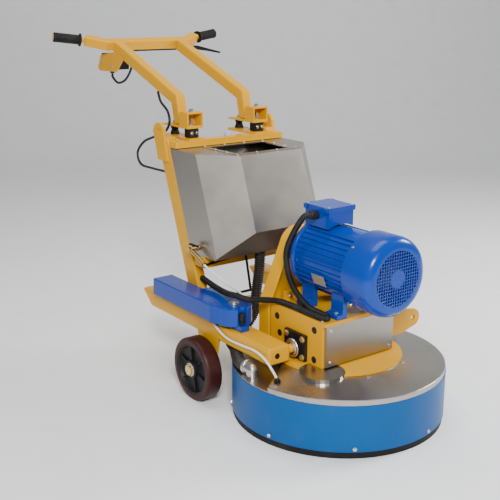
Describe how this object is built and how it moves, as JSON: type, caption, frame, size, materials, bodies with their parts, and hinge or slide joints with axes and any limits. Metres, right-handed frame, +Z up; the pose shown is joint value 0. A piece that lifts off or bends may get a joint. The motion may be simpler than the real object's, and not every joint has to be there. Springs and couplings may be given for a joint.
{
  "type": "concrete grinder",
  "caption": "Walk-behind planetary floor grinder with a round dust skirt, electric motor, water tank, swinging weights, two wheels and a raked push handle.",
  "frame": {"origin": "centre of the bounding box at floor level", "axes": "+Z up, +Y from the grinding head towards the handle, +X to the operator's left seen from the handle"},
  "size_m": [0.8, 1.745, 1.2672],
  "materials": {
    "yellow_paint": "gloss enamel",
    "blue_paint": "gloss enamel",
    "skirt_blue": "satin enamel",
    "stainless_steel": "brushed",
    "zinc_steel": "zinc plated",
    "black_plastic": "moulded",
    "black_rubber": "matt",
    "hose_grey": "ribbed hose",
    "water_hose": "translucent white",
    "brass": "turned",
    "wheel_tread": "polyurethane tread",
    "cast_iron": "machined"
  },
  "bodies": {
    "chassis": {"arm_right": "yellow_paint", "post_right": "yellow_paint", "weight_pin_right": "zinc_steel", "front_buffer_right": "black_rubber", "rear_buffer_right": "black_rubber", "mount_bracket_right": "yellow_paint", "handle_rail_right": "yellow_paint", "grip_right": "black_rubber", "arm_left": "yellow_paint", "post_left": "yellow_paint", "weight_pin_left": "zinc_steel", "front_buffer_left": "black_rubber", "rear_buffer_left": "black_rubber", "mount_bracket_left": "yellow_paint", "handle_rail_left": "yellow_paint", "grip_left": "black_rubber", "cross_member": "yellow_paint", "top_beam": "yellow_paint", "water_tank": "stainless_steel", "tank_support": "yellow_paint", "tap_body": "brass", "crossbar": "yellow_paint", "switch_bracket": "yellow_paint", "switch_box": "black_plastic", "lever_clamp": "black_plastic", "suction_hose": "hose_grey", "water_hose": "water_hose", "supply_conduit": "black_plastic", "rail_cable": "black_plastic", "post_cable": "black_plastic", "lever_cable": "black_plastic", "hose_stay": "black_plastic"},
    "head": {"dust_skirt": "skirt_blue", "floor_seal": "black_rubber", "head_cover": "stainless_steel", "top_disc": "yellow_paint", "head_frame": "yellow_paint", "front_cover": "stainless_steel", "tilt_bearing_right": "black_plastic", "tilt_bearing_left": "black_plastic", "gearbox": "cast_iron", "motor": "blue_paint", "terminal_box": "blue_paint", "belt_guard": "yellow_paint", "suction_elbow": "stainless_steel"},
    "planet_carrier": {"planet_carrier": "cast_iron"},
    "motor_rotor": {"motor_rotor": "cast_iron"},
    "grinding_disc_1": {"grinding_disc_1": "cast_iron"},
    "grinding_disc_2": {"grinding_disc_2": "cast_iron"},
    "grinding_disc_3": {"grinding_disc_3": "cast_iron"},
    "wheel_right": {"wheel_right": "wheel_tread"},
    "weight_right": {"weight_right": "blue_paint"},
    "index_plunger_right": {"index_plunger_right": "black_plastic"},
    "wheel_left": {"wheel_left": "wheel_tread"},
    "weight_left": {"weight_left": "blue_paint"},
    "index_plunger_left": {"index_plunger_left": "black_plastic"},
    "tap_lever": {"tap_lever": "black_plastic"},
    "hand_lever": {"hand_lever": "black_plastic"},
    "stop_button": {"stop_button": "black_plastic"}
  },
  "joints": [
    {"name": "head_tilt", "type": "hinge", "parent": "chassis", "child": "head", "pos_m": [0, -0.4725, 0.262], "axis": [1, 0, 0], "range_deg": [-4, 4], "deforming": ["suction_hose", "water_hose", "supply_conduit"]},
    {"name": "carrier_spin", "type": "hinge", "parent": "head", "child": "planet_carrier", "pos_m": [0, -0.5025, 0.1225], "axis": [0, 0, 1], "continuous": true},
    {"name": "disc_spin_1", "type": "hinge", "parent": "planet_carrier", "child": "grinding_disc_1", "pos_m": [0, -0.3075, 0.05], "axis": [0, 0, 1], "continuous": true},
    {"name": "disc_spin_2", "type": "hinge", "parent": "planet_carrier", "child": "grinding_disc_2", "pos_m": [-0.16887, -0.6, 0.05], "axis": [0, 0, 1], "continuous": true},
    {"name": "disc_spin_3", "type": "hinge", "parent": "planet_carrier", "child": "grinding_disc_3", "pos_m": [0.16887, -0.6, 0.05], "axis": [0, 0, 1], "continuous": true},
    {"name": "motor_spin", "type": "hinge", "parent": "head", "child": "motor_rotor", "pos_m": [0, -0.5025, 0.546], "axis": [0, 1, 0], "continuous": true},
    {"name": "wheel_spin_right", "type": "hinge", "parent": "chassis", "child": "wheel_right", "pos_m": [-0.347, -0.139, 0.116], "axis": [1, 0, 0], "continuous": true},
    {"name": "weight_swing_right", "type": "hinge", "parent": "chassis", "child": "weight_right", "pos_m": [-0.262, -0.2455, 0.306], "axis": [0, 0, 1], "range_deg": [0, 150]},
    {"name": "plunger_lift_right", "type": "slide", "parent": "weight_right", "child": "index_plunger_right", "axis": [0, 0, 1], "range_m": [0, 0.01], "stiffness_N_per_m": 400},
    {"name": "wheel_spin_left", "type": "hinge", "parent": "chassis", "child": "wheel_left", "pos_m": [0.347, -0.139, 0.116], "axis": [1, 0, 0], "continuous": true},
    {"name": "weight_swing_left", "type": "hinge", "parent": "chassis", "child": "weight_left", "pos_m": [0.262, -0.2455, 0.306], "axis": [0, 0, -1], "range_deg": [0, 150]},
    {"name": "plunger_lift_left", "type": "slide", "parent": "weight_left", "child": "index_plunger_left", "axis": [0, 0, 1], "range_m": [0, 0.01], "stiffness_N_per_m": 400},
    {"name": "tap_turn", "type": "hinge", "parent": "chassis", "child": "tap_lever", "pos_m": [-0.277, 0.0025, 0.5323], "axis": [0, 0, -1], "range_deg": [0, 90]},
    {"name": "lever_squeeze", "type": "hinge", "parent": "chassis", "child": "hand_lever", "pos_m": [0.265, 0.789, 1.19], "axis": [0, -1, 0], "range_deg": [0, 10], "stiffness_Nm_per_rad": 1.5},
    {"name": "stop_press", "type": "slide", "parent": "chassis", "child": "stop_button", "axis": [0, -1, 0], "range_m": [0, 0.004], "stiffness_N_per_m": 800}
  ],
  "couplings": [
    {"joint": "disc_spin_1", "follows": "carrier_spin", "ratio": -5},
    {"joint": "disc_spin_2", "follows": "carrier_spin", "ratio": -5},
    {"joint": "disc_spin_3", "follows": "carrier_spin", "ratio": -5},
    {"joint": "motor_spin", "follows": "carrier_spin", "ratio": 12}
  ]
}
